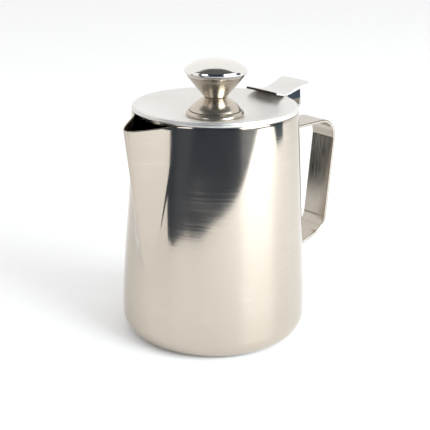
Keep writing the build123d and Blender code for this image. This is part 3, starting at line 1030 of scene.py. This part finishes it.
def woven_wires(radius, level, upright):
    """All the wires of a screen that run one way, each passing over and under the others."""
    skins = []
    count = int(2 * radius / WIRE_PITCH) - 1
    for index in range(count):
        across = (index - (count - 1) / 2) * WIRE_PITCH
        reach = math.sqrt((radius - SCREEN_MARGIN) ** 2 - across**2)
        points = []
        for crossing in range(count):
            along = (crossing - (count - 1) / 2) * WIRE_PITCH
            if abs(along) > reach:
                continue
            over = 1 if (index + crossing + upright) % 2 else -1
            place = (across, along) if upright else (along, across)
            points.append(Vector((place[0] * MM, place[1] * MM, (level + over * WEAVE) * MM)))
        runs = [points]
        if abs(across) < ROD_HOLE:
            near = [p for p in points if math.hypot(p.x, p.y) > ROD_HOLE * MM]
            runs = [near[: len(near) // 2], near[len(near) // 2 :]]
        skins += [capped(tube_along(run, WIRE_RADIUS * MM, WIRE_SIDES)) for run in runs if len(run) > 1]
    return skins


def build_screen(name, node, radius, level):
    """One round screen, woven from wires both ways."""
    vertices, faces = join_skins(woven_wires(radius, level, 0) + woven_wires(radius, level, 1))
    make_piece(name, "plunger", WIRE, vertices, faces, [node])


build_screen("lower_screen", "lower_mesh", LOWER_SCREEN_RADIUS, LOWER_SCREEN)
build_screen("upper_screen", "upper_mesh", UPPER_SCREEN_RADIUS, UPPER_SCREEN)

COIL_RADIUS = 39.8
COIL_TURN_RADIUS = 1.05
COIL_WIRE_RADIUS = 0.3 * MM
COIL_SIDES = 6
COIL_TURNS = 150
COIL_STEPS = 12


def build_coil():
    """A fine helix bent into a ring, which wipes the jug's wall."""
    points = []
    count = COIL_TURNS * COIL_STEPS
    for step in range(count):
        around = 2 * math.pi * step / count
        turn = 2 * math.pi * step / COIL_STEPS
        radius = COIL_RADIUS + COIL_TURN_RADIUS * math.cos(turn)
        height = LOWER_SCREEN + COIL_TURN_RADIUS * math.sin(turn)
        points.append(Vector((radius * math.cos(around), radius * math.sin(around), height)) * MM)
    rings = []
    for index, point in enumerate(points):
        direction = (points[(index + 1) % count] - points[index - 1]).normalized()
        around = 2 * math.pi * index / count
        middle = (COIL_RADIUS * math.cos(around), COIL_RADIUS * math.sin(around), LOWER_SCREEN)
        centre = Vector(middle) * MM
        out = (point - centre).normalized()
        out = (out - direction * out.dot(direction)).normalized()
        side = direction.cross(out)
        turns = [2 * math.pi * i / COIL_SIDES for i in range(COIL_SIDES)]
        round_wire = [out * math.cos(a) + side * math.sin(a) for a in turns]
        rings.append([point + way * COIL_WIRE_RADIUS for way in round_wire])
    vertices, faces = skin(rings, along=True)
    make_piece("wiper_coil", "plunger", SPRING, vertices, faces, ["edge_coil"])


build_coil()

for node, material in (("guide_bush", NYLON), ("knob_insert", BRASS), ("lower_plate", POLISHED)):
    for cad_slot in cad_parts[node].material_slots:
        cad_slot.material = material

# ---------------------------------------------------------------- stage
VIEW_TURN = math.radians(42)
CAMERA_DISTANCE = 0.536
CAMERA_ELEVATION = math.radians(19.8)
CAMERA_ROLL = math.radians(0.63)
CAMERA_SHIFT_X = 0.0023
CAMERA_SHIFT_Y = 0.019
LENS = 81.3
SENSOR = 36
CLIP_START = 0.01
AIM_HEIGHT = 0.06


def stage_point(right, away, up):
    """A place given from the camera's side: to its right, away from it, and up."""
    cos, sin = math.cos(VIEW_TURN), math.sin(VIEW_TURN)
    return Vector((right * cos + away * sin, -right * sin + away * cos, up))


def build_camera():
    """The camera, aimed at the middle of the jug and slightly rolled."""
    camera = bpy.data.cameras.new("camera")
    camera.lens = LENS
    camera.sensor_width = SENSOR
    camera.shift_x = CAMERA_SHIFT_X
    camera.shift_y = CAMERA_SHIFT_Y
    camera.clip_start = CLIP_START
    holder = bpy.data.objects.new("camera", camera)
    bpy.context.scene.collection.objects.link(holder)
    out = CAMERA_DISTANCE * math.cos(CAMERA_ELEVATION)
    up = CAMERA_DISTANCE * math.sin(CAMERA_ELEVATION)
    holder.location = stage_point(0, -out, AIM_HEIGHT + up)
    look = stage_point(0, 0, AIM_HEIGHT) - holder.location
    turn = look.to_track_quat("-Z", "Y").to_matrix().to_4x4()
    roll = Matrix.Rotation(CAMERA_ROLL, 4, "Z")
    holder.matrix_world = Matrix.Translation(holder.location) @ turn @ roll
    bpy.context.scene.camera = holder


build_camera()


def plain_emission(name, colour):
    """A material that gives off one even colour, whatever lights it."""
    material = bpy.data.materials.new(name)
    material.use_nodes = True
    tree = material.node_tree
    tree.nodes.clear()
    glow = tree.nodes.new("ShaderNodeEmission")
    glow.inputs["Color"].default_value = (*colour, 1)
    output = tree.nodes.new("ShaderNodeOutputMaterial")
    tree.links.new(glow.outputs["Emission"], output.inputs["Surface"])
    return material


def stage_piece(name, vertices, faces, material, seen=True):
    """A floor or a card that isn't part of the object; an unseen one only shows in reflections."""
    mesh = bpy.data.meshes.new(name)
    mesh.from_pydata([tuple(v) for v in vertices], [], faces)
    mesh.materials.append(material)
    piece = bpy.data.objects.new(name, mesh)
    bpy.context.scene.collection.objects.link(piece)
    if not seen:
        piece.visible_camera = False
        piece.visible_diffuse = False
        piece.visible_shadow = False
    return piece


def dark_card(name, points, colour):
    """A flat card of an even colour, which only shows in reflections."""
    stage_piece(name, points, [list(range(len(points)))], plain_emission(name, colour), seen=False)


# Outline of the pale floor, as places to the right of the jug and away from the camera. The dark
# room shows in the jug's front below the near edge.
FLOOR_EDGE = [
    (3.0, -0.52),
    (0.62, -0.485),
    (0.49, -0.475),
    (0.28, -0.442),
    (0.15, -0.428),
    (-0.03, -0.41),
    (-0.15, -0.385),
    (-0.178, -0.345),
    (-0.205, -0.26),
    (-0.215, -0.195),
    (-0.242, -0.171),
    (-1.2, -0.57),
    (-3.0, -0.57),
    (-3.0, 3.0),
    (3.0, 3.0),
]
PAPER_DARK = (0.80, 0.80, 0.80)
PAPER_LIGHT = (0.83, 0.83, 0.83)
DARK_ROOM = (0.026, 0.043, 0.072)
ROOM_HALF_WIDTH = 4
UNDER_FLOOR = -0.004
WALL_DISTANCE = 1.3
WALL_START = -64
WALL_END = 34
WALL_BOTTOM = -0.01
WALL_COLUMNS = 24
CEILING = 1.6
CEILING_BACK = 0.45
CEILING_GREY = (0.12, 0.12, 0.12)
RIGHT_FLAG_PLACE = 0.66
RIGHT_FLAG_OUTLINE = [(-0.17, 0.06), (-0.1, 0.03), (-0.02, 0), (0.12, 0), (0.12, 0.5), (-0.17, 0.5)]
RIGHT_FLAG_BLUE = (0.02, 0.06, 0.11)
LEFT_FLAG_OUTLINE = [(-1.6, -0.06), (-0.31, -0.02), (-0.31, 0.1), (-1.6, 0.14)]
LEFT_FLAG_GREY = (0.05, 0.06, 0.065)
ABOVE_FLOOR = 0.001
LIGHT_ELEVATION = math.radians(22)
LIGHT_DISTANCE = 1.0
WORLD_STRENGTH = 1.08


def build_floor():
    """The pale floor, and the dark one that shows past its edge in reflections."""
    paper, tree, shader = new_material("paper", PAPER_DARK, 0, 0.75)
    mottle = noise(tree, (90, 90, 90), 3)
    colour = mix_colours(tree, mottle, PAPER_DARK, PAPER_LIGHT)
    tree.links.new(colour, shader.inputs["Base Color"])
    add_bump(tree, shader, mottle, 0.05, 0.1 * MM)
    outline = [stage_point(x, y, 0) for x, y in FLOOR_EDGE]
    stage_piece("floor", outline, [list(range(len(outline)))], paper)
    side = ROOM_HALF_WIDTH
    corners = ((-side, -side), (side, -side), (side, 0), (-side, 0))
    dark_card("dark_floor", [stage_point(x, y, UNDER_FLOOR) for x, y in corners], DARK_ROOM)


def build_dark_wall():
    """An upright curved card behind the camera; its angles are in degrees to the camera's right."""
    vertices = []
    for column in range(WALL_COLUMNS + 1):
        angle = math.radians(WALL_START + (WALL_END - WALL_START) * column / WALL_COLUMNS)
        right, away = WALL_DISTANCE * math.sin(angle), -WALL_DISTANCE * math.cos(angle)
        vertices += [stage_point(right, away, WALL_BOTTOM), stage_point(right, away, CEILING)]
    faces = [[2 * i, 2 * i + 2, 2 * i + 3, 2 * i + 1] for i in range(WALL_COLUMNS)]
    stage_piece("dark_wall", vertices, faces, plain_emission("dark_wall", DARK_ROOM), seen=False)


def build_dark_cards():
    """The ceiling and two cards that darken parts of the reflections."""
    side = CEILING
    corners = ((-side, -side), (side, -side), (side, CEILING_BACK), (-side, CEILING_BACK))
    dark_card("dark_ceiling", [stage_point(x, y, CEILING) for x, y in corners], CEILING_GREY)
    right = [stage_point(RIGHT_FLAG_PLACE, away, up) for away, up in RIGHT_FLAG_OUTLINE]
    dark_card("right_flag", right, RIGHT_FLAG_BLUE)
    left = [stage_point(x, y, ABOVE_FLOOR) for x, y in LEFT_FLAG_OUTLINE]
    dark_card("left_flag", left, LEFT_FLAG_GREY)


def softbox(name, angle, width, height, power, colour):
    """An area light aimed at the jug; its angle is in degrees to the camera's right."""
    light = bpy.data.lights.new(name, "AREA")
    light.shape = "RECTANGLE"
    light.size = width
    light.size_y = height
    light.energy = power
    light.color = colour
    holder = bpy.data.objects.new(name, light)
    bpy.context.scene.collection.objects.link(holder)
    turn = math.radians(angle)
    flat = LIGHT_DISTANCE * math.cos(LIGHT_ELEVATION)
    up = LIGHT_DISTANCE * math.sin(LIGHT_ELEVATION) + AIM_HEIGHT
    place = stage_point(flat * math.sin(turn), -flat * math.cos(turn), up)
    aim = Vector((0, 0, AIM_HEIGHT)) - place
    holder.location = place
    holder.rotation_euler = aim.to_track_quat("-Z", "Y").to_euler()


def build_world():
    """An even white surround."""
    world = bpy.data.worlds.new("studio")
    bpy.context.scene.world = world
    world.use_nodes = True
    background = world.node_tree.nodes["Background"]
    background.inputs["Color"].default_value = (1, 1, 1, 1)
    background.inputs["Strength"].default_value = WORLD_STRENGTH


build_floor()
build_dark_wall()
build_dark_cards()
softbox("key", 57, 0.75, 0.5, 16, (0.88, 0.95, 1.0))
softbox("fill", -40, 0.35, 0.5, 1.5, (0.95, 0.98, 1.0))
build_world()
bpy.context.scene.view_settings.view_transform = "Standard"
